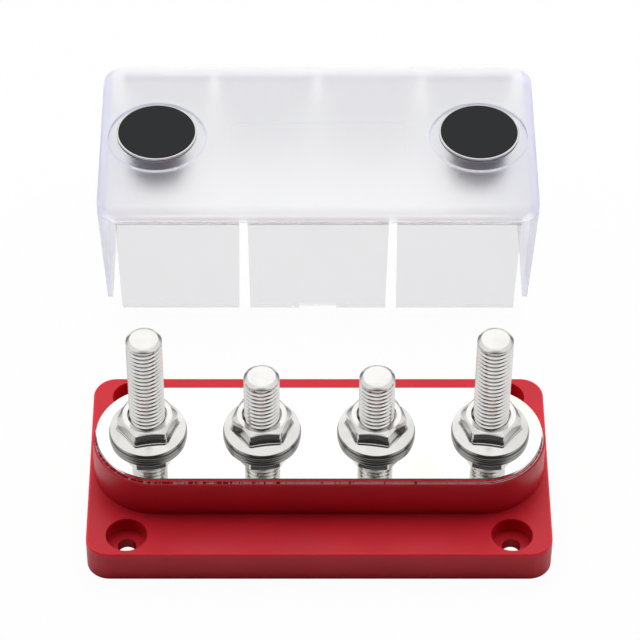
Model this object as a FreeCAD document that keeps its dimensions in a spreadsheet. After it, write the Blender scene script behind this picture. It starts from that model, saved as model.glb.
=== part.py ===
import FreeCAD, Part
import Sketcher
import math
import os

# A four-stud bus bar on a moulded base, with its clear cover lifted off and stood behind it.
# Millimetres. +Z is up, +X runs along the bar, -Y is the front. The origin is the centre of
# the base's underside, which is the face that is screwed down.

document = FreeCAD.newDocument("bus_bar")
sheet = document.addObject("Spreadsheet::Sheet", "sizes")

# The driving dimensions, each with what it sets.
SIZES = [
    ("base_end", 17.0, "moulded base beyond the middle of an end stud"),
    ("base_width", 66.5, "moulded base, front to back"),
    ("plate_height", 10.4, "thickness of the base's plate"),
    ("plate_corner", 6.5, "corner radius of the plate"),
    ("plate_round", 0.7, "rounding of the plate's upper edge"),
    ("island_rise", 12.0, "height of the raised island above the plate"),
    ("island_margin", 0.9, "island beyond the bar, all round, at its top"),
    ("island_draft", 1.0, "mould draft of the island's wall, degrees"),
    ("island_round", 0.4, "rounding of the island's upper rim"),
    ("stud_pitch", 32.0, "distance from stud to stud"),
    ("stud_count", 4, "studs in the row"),
    ("screw_inset", 11.3, "mounting hole in from the end of the base"),
    ("screw_side", 7.35, "mounting hole in from the side of the base"),
    ("screw_hole", 2.6, "radius of a mounting hole"),
    ("screw_sink", 5.8, "radius of its counterbore"),
    ("screw_sink_depth", 5.0, "depth of its counterbore"),
    ("screw_relief", 1.9, "depth of the relief below it, as wide as the counterbore"),
    ("bar_end", 14.7, "plated bar beyond the middle of an end stud"),
    ("bar_width", 34.5, "plated bar, front to back"),
    ("bar_thickness", 4.0, "plated bar"),
    ("bar_proud", 1.6, "how far the bar stands above the island"),
    ("bar_gap", 0.15, "gap round the bar in its recess"),
    ("bar_bevel", 0.25, "bevel on the bar's edges"),
    ("stud_radius", 5.0, "nominal thread radius"),
    ("stud_gap", 0.2, "gap round a stud in the bar and the base"),
    ("stud_bevel", 1.1, "bevel at a stud's tip"),
    ("head_across", 16.0, "bolt head, across its flats"),
    ("head_height", 6.4, "bolt head"),
    ("head_sink", 1.0, "how far a bolt head lies above the underside"),
    ("head_gap", 0.2, "gap round a bolt head in its pocket"),
    ("long_shank", 55.0, "length of an end bolt under its head"),
    ("short_shank", 40.0, "length of a middle bolt under its head"),
    ("washer_radius", 11.0, "flat washer, outside"),
    ("washer_thickness", 0.9, "flat washer"),
    ("washer_gap", 0.25, "gap round a stud in its washer"),
    ("nut_across", 15.0, "nut, across its flats"),
    ("nut_height", 6.9, "nut, flange included"),
    ("nut_gap", 0.05, "gap round a stud in its nut"),
    ("nut_sink", 0.55, "how far the countersink opens beyond the nut's bore"),
    ("flange_radius", 10.7, "flange of the nut"),
    ("flange_edge", 1.3, "height of the flange's rim"),
    ("flange_crown", 8.4, "radius at which the flange's slope meets the hexagon"),
    ("flange_slope", 0.7, "rise of the flange's slope"),
    ("nut_turn", 8.0, "turn of the nuts off square, degrees"),
    ("cover_space", 36.5, "from the base back to the cover as it stands"),
    ("cover_end", 17.0, "cover beyond the middle of a knob"),
    ("cover_width", 64.5, "cover, front to back"),
    ("cover_height", 42.0, "cover"),
    ("cover_corner", 6.5, "corner radius of the lid"),
    ("cover_round", 2.7, "rounding of the lid's upper edge"),
    ("lid_thickness", 3.0, "lid of the cover"),
    ("rim_height", 4.4, "height of the lid's rim"),
    ("groove_height", 0.7, "break-off groove below the rim"),
    ("groove_depth", 1.1, "how deep the groove cuts into a panel"),
    ("panel_root", 2.5, "thickness of a panel at the rim"),
    ("panel_edge", 1.5, "thickness of a panel at its lower edge"),
    ("panel_lean", 1.8, "how far a panel's outer face leans in, from rim to lower edge"),
    ("slot_top", 2.4, "gap between panels, at the rim"),
    ("slot_edge", 3.3, "gap between panels, at their lower edge"),
    ("front_centre", 41.4, "width of the front's middle panel"),
    ("back_centre", 31.6, "distance between the middles of the slots in the back"),
    ("corner_gap", 3.0, "gap from an end panel's inner face to its neighbours"),
    ("notch_width", 11.0, "notch in the lower edge of the front's middle panel"),
    ("notch_depth", 0.9, "how high that notch is"),
    ("label_length", 52.0, "bare field for a label on the lid"),
    ("label_width", 12.0, "the same, front to back"),
    ("label_depth", 0.2, "how far the field is sunk"),
    ("well_radius", 14.6, "recess in the lid round a knob"),
    ("well_depth", 1.4, "depth of that recess"),
    ("knob_head", 11.9, "radius of a knob's head"),
    ("knob_head_height", 1.4, "height of the head"),
    ("knob_above", 1.85, "top of a knob above the lid"),
    ("knob_shoulder", 9.5, "radius of the shoulder that bears on the lid"),
    ("knob_shank", 8.3, "radius of the part below the lid"),
    ("knob_height", 17.0, "knob, overall"),
    ("knob_gap", 0.1, "gap round a knob in the lid"),
    ("knob_bore_depth", 13.0, "depth of the knob's blind bore"),
    ("knob_bevel", 0.8, "bevel at the knob's foot"),
    ("cap_lip", 0.4, "bright lip round the cap in the knob's head"),
    ("cap_thickness", 0.8, "black cap let into the knob's head"),
    ("cap_gap", 0.03, "gap round that cap"),
]

# Heights and places that several pieces share, worked out from the sizes.
SEAT = "(sizes.head_sink + sizes.head_height)"
ISLAND_TOP = "(sizes.plate_height + sizes.island_rise)"
BAR_TOP = "(sizes.plate_height + sizes.island_rise + sizes.bar_proud)"
BAR_FOOT = "(sizes.plate_height + sizes.island_rise + sizes.bar_proud - sizes.bar_thickness)"
ISLAND_WIDTH = "(sizes.bar_width + 2 * sizes.island_margin)"
ROW_HALF = "((sizes.stud_count - 1) * sizes.stud_pitch / 2)"
BASE_LENGTH = f"(2 * {ROW_HALF} + 2 * sizes.base_end)"
BAR_LENGTH = f"(2 * {ROW_HALF} + 2 * sizes.bar_end)"
ISLAND_LENGTH = f"({BAR_LENGTH} + 2 * sizes.island_margin)"
COVER_LENGTH = f"(2 * {ROW_HALF} + 2 * sizes.cover_end)"
COVER_PLACE = "(sizes.base_width / 2 + sizes.cover_space + sizes.cover_width / 2)"
RIM_FOOT = "(sizes.cover_height - sizes.rim_height)"
LID_FOOT = "(sizes.cover_height - sizes.lid_thickness)"
WELL_FLOOR = "(sizes.cover_height - sizes.well_depth)"
KNOB_TOP = "(sizes.cover_height + sizes.knob_above)"
STUD_HOLE = "(sizes.stud_radius + sizes.stud_gap)"
THREAD_BORE = "(sizes.stud_radius + sizes.nut_gap)"

# Proportions of any hexagon with a turned crown, as shares of its width across the flats:
# a corner from the axis, the flat top's radius, and a radius safely beyond the corners.
CORNER_SHARE = 1 / math.sqrt(3)
CROWN_SHARE = 0.475
BEYOND_SHARE = 0.62
CROWN_SLOPE = math.tan(math.radians(30))


def fill_sheet():
    """Each size in a row of its own: its name, its value and what it sets."""
    for row, (alias, value, note) in enumerate(SIZES, start=1):
        sheet.set(f"A{row}", alias)
        sheet.set(f"B{row}", str(value))
        sheet.set(f"C{row}", note)
        sheet.setAlias(f"B{row}", alias)
    document.recompute()


def worth(text):
    """The number that an expression gives."""
    return float(sheet.evalExpression(text.replace("sizes.", "")))


def bind(thing, **expressions):
    """Ties properties of a feature to the sheet."""
    for name, text in expressions.items():
        thing.setExpression(name, text)


def place(thing, x="0", y="0", z="0", turn="0"):
    """Puts a feature or a body at a place, and turns it about the vertical."""
    for axis, text in zip("xyz", (x, y, z)):
        if text != "0":
            thing.setExpression(f"Placement.Base.{axis}", text)
    if turn != "0":
        thing.setExpression("Placement.Rotation.Angle", turn)


def new_body(label):
    """An empty body that will be one piece of the object."""
    body = document.addObject("PartDesign::Body", label)
    body.Label = label
    return body


def origin_plane(body, role):
    """One of the body's own reference planes or axes."""
    return next(f for f in body.Origin.OriginFeatures if f.Role == role)


def new_sketch(body, name, role="XY_Plane", height="0"):
    """An empty sketch on one of the body's planes, moved along that plane's normal."""
    sketch = body.newObject("Sketcher::SketchObject", name)
    sketch.AttachmentSupport = [(origin_plane(body, role), "")]
    sketch.MapMode = "FlatFace"
    if height != "0":
        sketch.setExpression("AttachmentOffset.Base.z", height)
    return sketch


def limit(sketch, name, expression, *constraint):
    """A named driving dimension of a sketch, tied to the sheet."""
    index = sketch.addConstraint(Sketcher.Constraint(*constraint, worth(expression)))
    sketch.renameConstraint(index, name)
    sketch.setExpression(f"Constraints.{name}", expression)


def join(sketch, *constraint):
    """A geometric constraint with no value."""
    sketch.addConstraint(Sketcher.Constraint(*constraint))


def arc(x, y, radius, start, end):
    """A quarter or half circle, with its ends given in quarter turns."""
    quarter = math.pi / 2
    circle = Part.Circle(FreeCAD.Vector(x, y, 0), FreeCAD.Vector(0, 0, 1), radius)
    return Part.ArcOfCircle(circle, start * quarter, end * quarter)


def line(x1, y1, x2, y2):
    """A straight side of a sketch."""
    return Part.LineSegment(FreeCAD.Vector(x1, y1, 0), FreeCAD.Vector(x2, y2, 0))


def rounded_rectangle(body, name, length, width, radius, height="0"):
    """A centred rectangle with round corners."""
    sketch = new_sketch(body, name, height=height)
    x, y, r = worth(length) / 2, worth(width) / 2, worth(radius)
    sides = [
        line(r - x, -y, x - r, -y), arc(x - r, r - y, r, 3, 4),
        line(x, r - y, x, y - r), arc(x - r, y - r, r, 0, 1),
        line(x - r, y, r - x, y), arc(r - x, y - r, r, 1, 2),
        line(-x, y - r, -x, r - y), arc(r - x, r - y, r, 2, 3),
    ]
    sketch.addGeometry(sides, False)
    for side in range(len(sides)):
        join(sketch, "Tangent", side, 2, (side + 1) % len(sides), 1)
    for corner in (3, 5, 7):
        join(sketch, "Equal", 1, corner)
    for level, upright in ((0, 2), (4, 6)):
        join(sketch, "Horizontal", level)
        join(sketch, "Vertical", upright)
    join(sketch, "Symmetric", 0, 1, 4, 1, -1, 1)
    limit(sketch, "corner", radius, "Radius", 1)
    limit(sketch, "across", length, "DistanceX", 6, 1, 2, 1)
    limit(sketch, "deep", width, "DistanceY", 0, 1, 4, 1)
    return sketch


def obround(body, name, length, width, height="0"):
    """A centred slot shape: two half circles and two straight sides."""
    sketch = new_sketch(body, name, height=height)
    r = worth(width) / 2
    x = worth(length) / 2 - r
    sides = [line(-x, -r, x, -r), arc(x, 0, r, 3, 5), line(x, r, -x, r), arc(-x, 0, r, 1, 3)]
    sketch.addGeometry(sides, False)
    for side in range(len(sides)):
        join(sketch, "Tangent", side, 2, (side + 1) % len(sides), 1)
    join(sketch, "Horizontal", 0)
    join(sketch, "Horizontal", 2)
    join(sketch, "Symmetric", 0, 1, 2, 1, -1, 1)
    limit(sketch, "straight", f"{length} - {width}", "DistanceX", 0, 1, 0, 2)
    limit(sketch, "deep", width, "DistanceY", 0, 1, 2, 2)
    return sketch


def profile(body, name, corners, role="XZ_Plane"):
    """A closed outline of straight sides through corners, each an x and a y expression."""
    sketch = new_sketch(body, name, role)
    points = [(worth(x), worth(y)) for x, y in corners]
    count = len(points)
    for here in range(count):
        sketch.addGeometry(line(*points[here], *points[(here + 1) % count]), False)
    for here in range(count):
        join(sketch, "Coincident", here, 2, (here + 1) % count, 1)
    for here, (x, y) in enumerate(corners):
        if x == "0":
            join(sketch, "PointOnObject", here, 1, -2)
        else:
            limit(sketch, f"x{here}", x, "DistanceX", -1, 1, here, 1)
        if y == "0":
            join(sketch, "PointOnObject", here, 1, -1)
        else:
            limit(sketch, f"y{here}", y, "DistanceY", -1, 1, here, 1)
    return sketch


def feature(body, kind, name, **expressions):
    """A feature of a body with its sizes tied to the sheet."""
    thing = body.newObject(f"PartDesign::{kind}", name)
    bind(thing, **expressions)
    return thing


def pad(body, name, sketch, length, down=False, draft="0"):
    """Material added on a sketch, upwards or downwards."""
    thing = feature(body, "Pad", name, Length=length)
    thing.Profile = sketch
    thing.Reversed = down
    if draft != "0":
        thing.setExpression("TaperAngle", draft)
    return thing


def pocket(body, name, sketch, length, down=True):
    """Material cut away from a sketch, downwards or upwards."""
    thing = feature(body, "Pocket", name, Length=length)
    thing.Profile = sketch
    thing.Reversed = not down
    return thing


def spin(body, kind, name, sketch):
    """A full turn of a sketch about the body's upright axis: Revolution adds, Groove cuts."""
    thing = feature(body, kind, name)
    thing.Profile = sketch
    thing.ReferenceAxis = (origin_plane(body, "Z_Axis"), [""])
    thing.Angle = 360
    return thing


def row_of(body, name, first, pitch, count):
    """Copies of a feature along the row, at the studs' pitch."""
    thing = body.newObject("PartDesign::LinearPattern", name)
    thing.Originals = [first]
    thing.Direction = (origin_plane(body, "X_Axis"), [""])
    thing.setExpression("Length", f"({count} - 1) * {pitch}")
    thing.setExpression("Occurrences", count)
    body.Tip = thing
    return thing


def level_edges(shape, height):
    """The names of the edges that lie in a level plane."""
    near = 1e-4
    names = []
    for number, edge in enumerate(shape.Edges, start=1):
        box = edge.BoundBox
        if abs(box.ZMin - height) < near and abs(box.ZMax - height) < near:
            names.append(f"Edge{number}")
    return names


def soften(body, kind, name, edges, size):
    """A Fillet or a Chamfer on edges of the last feature."""
    base = body.Tip
    thing = body.newObject(f"PartDesign::{kind}", name)
    thing.Base = (base, edges)
    thing.setExpression("Radius" if kind == "Fillet" else "Size", size)
    return thing


def hexagon(body, kind, name, across, length, foot="0"):
    """A hexagonal prism, with flats to the front and back, from its width across the flats."""
    thing = feature(body, kind, name, Height=length)
    thing.Polygon = 6
    thing.setExpression("Circumradius", f"({across}) * {CORNER_SHARE}")
    place(thing, z=foot)
    return thing


def crown_cut(body, name, across, top, upward=True):
    """Turns the corners of a hexagon's end down to a cone of 30 degrees."""
    flat = f"({across} * {CROWN_SHARE})"
    reach = f"({across} * {BEYOND_SHARE})"
    drop = f"({across} * {(BEYOND_SHARE - CROWN_SHARE) * CROWN_SLOPE})"
    low = f"({top} - {drop})" if upward else f"({top} + {drop})"
    over = f"({top} + {drop})" if upward else f"({top} - {drop})"
    corners = [(flat, top), (reach, low), (reach, over), (flat, over)]
    if not upward:
        corners.reverse()
    return spin(body, "Groove", name, profile(body, f"{name}_line", corners))


def make_base():
    """The moulded base: a plate with a raised island, recessed for the bar."""
    body = new_body("base")
    plate = rounded_rectangle(
        body, "plate_outline", BASE_LENGTH, "sizes.base_width", "sizes.plate_corner")
    pad(body, "plate", plate, "sizes.plate_height")
    document.recompute()
    edges = level_edges(body.Shape, worth("sizes.plate_height"))
    soften(body, "Fillet", "plate_edge", edges, "sizes.plate_round")
    island = obround(body, "island_outline", ISLAND_LENGTH, ISLAND_WIDTH, ISLAND_TOP)
    pad(body, "island", island, "sizes.island_rise", down=True, draft="sizes.island_draft")
    document.recompute()
    edges = level_edges(body.Shape, worth(ISLAND_TOP))
    soften(body, "Fillet", "island_rim", edges, "sizes.island_round")
    recess = obround(
        body, "recess_outline", f"({BAR_LENGTH} + 2 * sizes.bar_gap)",
        "(sizes.bar_width + 2 * sizes.bar_gap)", ISLAND_TOP)
    pocket(body, "bar_recess", recess, f"({ISLAND_TOP} - {BAR_FOOT})")
    hole = feature(body, "SubtractiveCylinder", "stud_hole", Radius=STUD_HOLE, Height=ISLAND_TOP)
    place(hole, x=f"-{ROW_HALF}")
    row_of(body, "stud_holes", hole, "sizes.stud_pitch", "sizes.stud_count")
    seat = hexagon(
        body, "SubtractivePrism", "head_pocket", "sizes.head_across + 2 * sizes.head_gap", SEAT)
    place(seat, x=f"-{ROW_HALF}")
    row_of(body, "head_pockets", seat, "sizes.stud_pitch", "sizes.stud_count")
    screw = feature(
        body, "SubtractiveCylinder", "screw_hole", Radius="sizes.screw_hole",
        Height="sizes.plate_height")
    along = f"(sizes.screw_inset - {BASE_LENGTH} / 2)"
    across = "(sizes.screw_side - sizes.base_width / 2)"
    place(screw, x=along, y=across)
    sink = feature(
        body, "SubtractiveCylinder", "screw_sink", Radius="sizes.screw_sink",
        Height="sizes.screw_sink_depth")
    place(sink, x=along, y=across, z="sizes.plate_height - sizes.screw_sink_depth")
    relief = feature(
        body, "SubtractiveCylinder", "screw_relief", Radius="sizes.screw_sink",
        Height="sizes.screw_relief")
    place(relief, x=along, y=across)
    corners = body.newObject("PartDesign::MultiTransform", "screw_holes")
    corners.Originals = [screw, sink, relief]
    copies = []
    for name, plane in (("other_end", "YZ_Plane"), ("other_side", "XZ_Plane")):
        copy = body.newObject("PartDesign::Mirrored", name)
        copy.MirrorPlane = (origin_plane(body, plane), [""])
        copies.append(copy)
    corners.Transformations = copies
    body.Tip = corners
    return body


def make_bar():
    """The plated bar that joins the studs."""
    body = new_body("bus_bar")
    outline = obround(body, "bar_outline", BAR_LENGTH, "sizes.bar_width")
    pad(body, "blank", outline, "sizes.bar_thickness")
    document.recompute()
    edges = level_edges(body.Shape, worth("sizes.bar_thickness"))
    soften(body, "Chamfer", "bar_edge", edges, "sizes.bar_bevel")
    hole = feature(
        body, "SubtractiveCylinder", "bar_hole", Radius=STUD_HOLE, Height="sizes.bar_thickness")
    place(hole, x=f"-{ROW_HALF}")
    row_of(body, "bar_holes", hole, "sizes.stud_pitch", "sizes.stud_count")
    place(body, z=BAR_FOOT)
    return body


def make_bolt(label, x, shank):
    """A hexagon bolt with its head in the base's underside and its shank up through the bar."""
    body = new_body(label)
    hexagon(body, "AdditivePrism", "head", "sizes.head_across", "sizes.head_height")
    crown_cut(body, "head_crown", "sizes.head_across", "0", upward=False)
    tip = f"(sizes.head_height + {shank})"
    corners = [
        ("0", "0"), ("sizes.stud_radius", "0"),
        ("sizes.stud_radius", f"({tip} - sizes.stud_bevel)"),
        ("(sizes.stud_radius - sizes.stud_bevel)", tip), ("0", tip),
    ]
    spin(body, "Revolution", "shank", profile(body, "shank_line", corners))
    place(body, x=x, z="sizes.head_sink")
    return body


def make_washer(label, x):
    """A flat washer on the bar."""
    body = new_body(label)
    bore = "(sizes.stud_radius + sizes.washer_gap)"
    corners = [
        (bore, "0"), ("sizes.washer_radius", "0"),
        ("sizes.washer_radius", "sizes.washer_thickness"), (bore, "sizes.washer_thickness"),
    ]
    spin(body, "Revolution", "ring", profile(body, "ring_line", corners))
    place(body, x=x, z=BAR_TOP)
    return body


def make_nut(label, x, turn):
    """A hexagon nut with a sloped flange and a countersunk bore."""
    body = new_body(label)
    hexagon(body, "AdditivePrism", "hexagon", "sizes.nut_across", "sizes.nut_height")
    crown_cut(body, "crown", "sizes.nut_across", "sizes.nut_height")
    flange = [
        ("0", "0"), ("sizes.flange_radius", "0"), ("sizes.flange_radius", "sizes.flange_edge"),
        ("sizes.flange_crown", "(sizes.flange_edge + sizes.flange_slope)"),
        ("0", "(sizes.flange_edge + sizes.flange_slope)"),
    ]
    spin(body, "Revolution", "flange", profile(body, "flange_line", flange))
    sunk = f"({THREAD_BORE} + sizes.nut_sink)"
    hole = [
        ("0", "0"), (THREAD_BORE, "0"), (THREAD_BORE, "(sizes.nut_height - sizes.nut_sink)"),
        (sunk, "sizes.nut_height"), ("0", "sizes.nut_height"),
    ]
    spin(body, "Groove", "bore", profile(body, "bore_line", hole))
    place(body, x=x, z=f"{BAR_TOP} + sizes.washer_thickness", turn=turn)
    return body


def panel(body, name, low, high, inner_low, inner_high, sideways=False):
    """A wall panel that tapers from the rim to its lower edge.

    low and high give its two ends along the wall, each at the lower edge and at the rim. The
    inner and outer faces are given as distances from the cover's middle, in the same way.
    """
    thing = body.newObject("PartDesign::AdditiveWedge", name)
    thing.Placement = FreeCAD.Placement(
        FreeCAD.Vector(0, 0, 0), FreeCAD.Rotation(FreeCAD.Vector(1, 0, 0), 90))
    first, second = ("Z", "X") if sideways else ("X", "Z")
    # A new wedge is first made wider than the cover, so that no range is ever empty.
    wide = worth(COVER_LENGTH)
    for axis in ("X", "Y", "Z", "X2", "Z2"):
        setattr(thing, f"{axis}max", wide)
        setattr(thing, f"{axis}min", -wide)
    bind(thing, Ymin="0", Ymax=RIM_FOOT)
    for axis, (bottom, top), side in (
            (first, low, "min"), (first, high, "max"),
            (second, inner_low, "min"), (second, inner_high, "max")):
        thing.setExpression(f"{axis}{side}", bottom)
        thing.setExpression(f"{axis}2{side}", top)
    return thing


def wall_faces(half):
    """A wall's inner and outer face, each at its lower edge and at the rim."""
    outer = (f"({half} - sizes.panel_lean)", half)
    inner = (
        f"({half} - sizes.panel_lean - sizes.panel_edge)", f"({half} - sizes.panel_root)")
    return inner, outer


def opposite(face):
    """The same face on the other side of the middle."""
    return tuple(f"-{text}" for text in face)


def make_cover():
    """The clear cover: a lid with a rim, and break-off panels hanging from it."""
    body = new_body("cover")
    lid = rounded_rectangle(
        body, "lid_outline", COVER_LENGTH, "sizes.cover_width", "sizes.cover_corner",
        RIM_FOOT)
    pad(body, "lid", lid, "sizes.rim_height")
    document.recompute()
    edges = level_edges(body.Shape, worth("sizes.cover_height"))
    soften(body, "Fillet", "lid_edge", edges, "sizes.cover_round")
    inside = rounded_rectangle(
        body, "lid_inside", f"({COVER_LENGTH} - 2 * sizes.panel_root)",
        "(sizes.cover_width - 2 * sizes.panel_root)",
        "(sizes.cover_corner - sizes.panel_root)", RIM_FOOT)
    pocket(body, "lid_hollow", inside, f"({LID_FOOT} - {RIM_FOOT})", down=False)

    side_inner, side_outer = wall_faces("(sizes.cover_width / 2)")
    end_inner, end_outer = wall_faces(f"({COVER_LENGTH} / 2)")
    last = tuple(f"({face} - sizes.corner_gap)" for face in end_inner)
    slots = ("(sizes.slot_edge / 2)", "(sizes.slot_top / 2)")
    gaps = ("sizes.slot_edge", "sizes.slot_top")
    middle = tuple(f"(sizes.front_centre / 2 - {slot} + sizes.slot_top / 2)" for slot in slots)
    beside = tuple(f"({edge} + {gap})" for edge, gap in zip(middle, gaps))
    panel(body, "front_middle", opposite(middle), middle, side_inner, side_outer)
    panel(body, "front_right", beside, last, side_inner, side_outer)
    panel(body, "front_left", opposite(last), opposite(beside), side_inner, side_outer)

    back_inner, back_outer = opposite(side_outer), opposite(side_inner)
    inner_pair = (slots, tuple(f"(sizes.back_centre - {slot})" for slot in slots))
    outer_pair = (tuple(f"(sizes.back_centre + {slot})" for slot in slots), last)
    for number, (near, far) in enumerate((inner_pair, outer_pair), start=1):
        panel(body, f"back_right_{number}", near, far, back_inner, back_outer)
        panel(body, f"back_left_{number}", opposite(far), opposite(near), back_inner, back_outer)
    wing = tuple(f"({face} - sizes.corner_gap)" for face in side_inner)
    panel(body, "end_right", opposite(wing), wing, end_inner, end_outer, sideways=True)
    panel(body, "end_left", opposite(wing), wing, opposite(end_outer), opposite(end_inner),
          sideways=True)

    groove = rounded_rectangle(
        body, "groove_outline", f"({COVER_LENGTH} - 2 * sizes.groove_depth)",
        "(sizes.cover_width - 2 * sizes.groove_depth)",
        "(sizes.cover_corner - sizes.groove_depth)", RIM_FOOT)
    around = [
        (f"-{COVER_LENGTH}", "-sizes.cover_width"), (COVER_LENGTH, "-sizes.cover_width"),
        (COVER_LENGTH, "sizes.cover_width"), (f"-{COVER_LENGTH}", "sizes.cover_width"),
    ]
    frame_groove(groove, around)
    pocket(body, "groove", groove, "sizes.groove_height")

    notch = feature(
        body, "SubtractiveBox", "notch", Length="sizes.notch_width",
        Width="2 * sizes.panel_root + sizes.panel_lean", Height="sizes.notch_depth")
    place(notch, x="-sizes.notch_width / 2", y="-sizes.cover_width / 2")
    label = feature(
        body, "SubtractiveBox", "label_field", Length="sizes.label_length",
        Width="sizes.label_width", Height="sizes.label_depth")
    place(label, x="-sizes.label_length / 2", y="-sizes.label_width / 2",
          z="sizes.cover_height - sizes.label_depth")
    for side, x in (("left", f"-{ROW_HALF}"), ("right", ROW_HALF)):
        well = feature(
            body, "SubtractiveCylinder", f"well_{side}", Radius="sizes.well_radius",
            Height="sizes.well_depth")
        place(well, x=x, z=WELL_FLOOR)
        hole = feature(
            body, "SubtractiveCylinder", f"knob_hole_{side}",
            Radius="sizes.knob_shank + sizes.knob_gap", Height="sizes.lid_thickness")
        place(hole, x=x, z=LID_FOOT)
    place(body, y=COVER_PLACE)
    return body


def frame_groove(sketch, corners):
    """Adds an outer rectangle to a sketch, so that only the strip round its outline is cut."""
    points = [(worth(x), worth(y)) for x, y in corners]
    count = len(points)
    start = sketch.GeometryCount
    for here in range(count):
        sketch.addGeometry(line(*points[here], *points[(here + 1) % count]), False)
    for here in range(count):
        join(sketch, "Coincident", start + here, 2, start + (here + 1) % count, 1)
    for here, (x, y) in enumerate(corners):
        limit(sketch, f"outer_x{here}", x, "DistanceX", -1, 1, start + here, 1)
        limit(sketch, f"outer_y{here}", y, "DistanceY", -1, 1, start + here, 1)


def make_knob(side, x):
    """A turned knob, stepped to bear on the lid, with a blind bore and a cap in its head."""
    body = new_body(f"knob_{side}")
    inlay = "(sizes.knob_head - sizes.cap_lip)"
    under_head = "(sizes.knob_height - sizes.knob_head_height)"
    bearing = "(sizes.knob_height - sizes.knob_above - sizes.well_depth)"
    corners = [
        (THREAD_BORE, "0"), ("(sizes.knob_shank - sizes.knob_bevel)", "0"),
        ("sizes.knob_shank", "sizes.knob_bevel"), ("sizes.knob_shank", bearing),
        ("sizes.knob_shoulder", bearing), ("sizes.knob_shoulder", under_head),
        ("sizes.knob_head", under_head), ("sizes.knob_head", "sizes.knob_height"),
        (inlay, "sizes.knob_height"), (inlay, "(sizes.knob_height - sizes.cap_thickness)"),
        ("0", "(sizes.knob_height - sizes.cap_thickness)"),
        ("0", "sizes.knob_bore_depth"), (THREAD_BORE, "sizes.knob_bore_depth"),
    ]
    spin(body, "Revolution", "turned", profile(body, "turned_line", corners))
    foot = f"({KNOB_TOP} - sizes.knob_height)"
    place(body, x=x, y=COVER_PLACE, z=foot)

    cap = new_body(f"knob_cap_{side}")
    feature(
        cap, "AdditiveCylinder", "disc", Radius=f"{inlay} - sizes.cap_gap",
        Height="sizes.cap_thickness")
    place(cap, x=x, y=COVER_PLACE, z=f"({KNOB_TOP} - sizes.cap_thickness)")
    return [body, cap]


def make_studs():
    """The row of bolts, washers and nuts: long bolts at the two ends, short ones between."""
    made = []
    count = int(worth("sizes.stud_count"))
    for number in range(count):
        x = f"({number} * sizes.stud_pitch - {ROW_HALF})"
        at_end = number in (0, count - 1)
        kind, shank = ("long", "sizes.long_shank") if at_end else ("short", "sizes.short_shank")
        turn = "sizes.nut_turn" if number < count / 2 else "-sizes.nut_turn"
        made.append(make_bolt(f"{kind}_bolt_{number + 1}", x, shank))
        made.append(make_washer(f"washer_{number + 1}", x))
        made.append(make_nut(f"nut_{number + 1}", x, turn))
    return made


def check_document():
    """Stops if any feature failed."""
    for thing in document.Objects:
        bad = [word for word in thing.State if word in ("Invalid", "Error")]
        if bad:
            raise RuntimeError(f"{thing.Name} is {bad}")


def check_pieces(pieces):
    """Stops unless every piece is one sound solid."""
    for piece in pieces:
        shape = piece.Shape
        if shape.isNull() or not shape.isValid() or len(shape.Solids) != 1:
            raise RuntimeError(f"{piece.Label} has no sound solid")


def main():
    fill_sheet()
    pieces = [make_base(), make_bar()]
    pieces += make_studs()
    pieces.append(make_cover())
    pieces += make_knob("left", f"-{ROW_HALF}")
    pieces += make_knob("right", ROW_HALF)
    document.recompute()
    check_document()
    check_pieces(pieces)
    os.makedirs("parts", exist_ok=True)
    for piece in pieces:
        piece.Shape.exportStep(f"parts/{piece.Label}.step")
        box = piece.Shape.BoundBox
        print(f"{piece.Label}: {piece.Shape.Volume:.1f} mm3, "
              f"{box.XLength:.2f} x {box.YLength:.2f} x {box.ZLength:.2f} mm")


main()
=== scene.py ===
import bmesh
import bpy
import math
from bpy.props import FloatProperty, FloatVectorProperty, IntProperty, PointerProperty
from mathutils import Matrix, Vector


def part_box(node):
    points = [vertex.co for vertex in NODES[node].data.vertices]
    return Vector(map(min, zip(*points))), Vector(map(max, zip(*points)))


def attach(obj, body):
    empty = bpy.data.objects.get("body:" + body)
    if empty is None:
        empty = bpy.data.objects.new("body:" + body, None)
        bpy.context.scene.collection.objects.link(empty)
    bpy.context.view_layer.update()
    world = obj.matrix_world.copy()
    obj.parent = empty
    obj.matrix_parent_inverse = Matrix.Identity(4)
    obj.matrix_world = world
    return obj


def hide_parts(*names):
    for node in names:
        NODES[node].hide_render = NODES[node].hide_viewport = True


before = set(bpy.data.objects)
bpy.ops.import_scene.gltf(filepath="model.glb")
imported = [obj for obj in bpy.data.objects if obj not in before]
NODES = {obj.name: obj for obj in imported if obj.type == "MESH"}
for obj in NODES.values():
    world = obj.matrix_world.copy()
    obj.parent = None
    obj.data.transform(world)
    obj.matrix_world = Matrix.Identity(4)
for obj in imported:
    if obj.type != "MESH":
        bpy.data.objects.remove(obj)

bl_info = {
    "name": "Stud Bus Bar",
    "version": (1, 0, 0),
    "blender": (4, 5, 0),
    "location": "View3D > Sidebar > Bus Bar",
    "description": "Dresses a four-stud bus bar with its clear cover, and sets its studio",
    "category": "Object",
}

MM = 0.001

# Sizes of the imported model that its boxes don't give
STUD_RADIUS = 5.0 * MM
HEAD_HEIGHT = 6.4 * MM
CROWN_SHARE = 0.475
CROWN_SLOPE = math.tan(math.radians(30))
TIP_HEIGHT = 1.1 * MM
WASHER_GAP = 0.25 * MM
WASHER_EDGE = 0.12 * MM
NUT_GAP = 0.05 * MM
RIM_HEIGHT = 1.3 * MM
PLATE_TOP = 10.4 * MM
WELL_RADIUS = 14.6 * MM

# Its nodes, by name. The studs' places are numbered from the left.
BOLTS = ("long_bolt_1", "short_bolt_2", "short_bolt_3", "long_bolt_4")
PLACES = range(1, len(BOLTS) + 1)
SIDES = ("left", "right")

# A turned form has this many sides, and each of its rounded corners this many steps.
AROUND = 144
ANGLES = [math.tau * step / AROUND for step in range(AROUND)]
BEND_STEPS = 4

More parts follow.
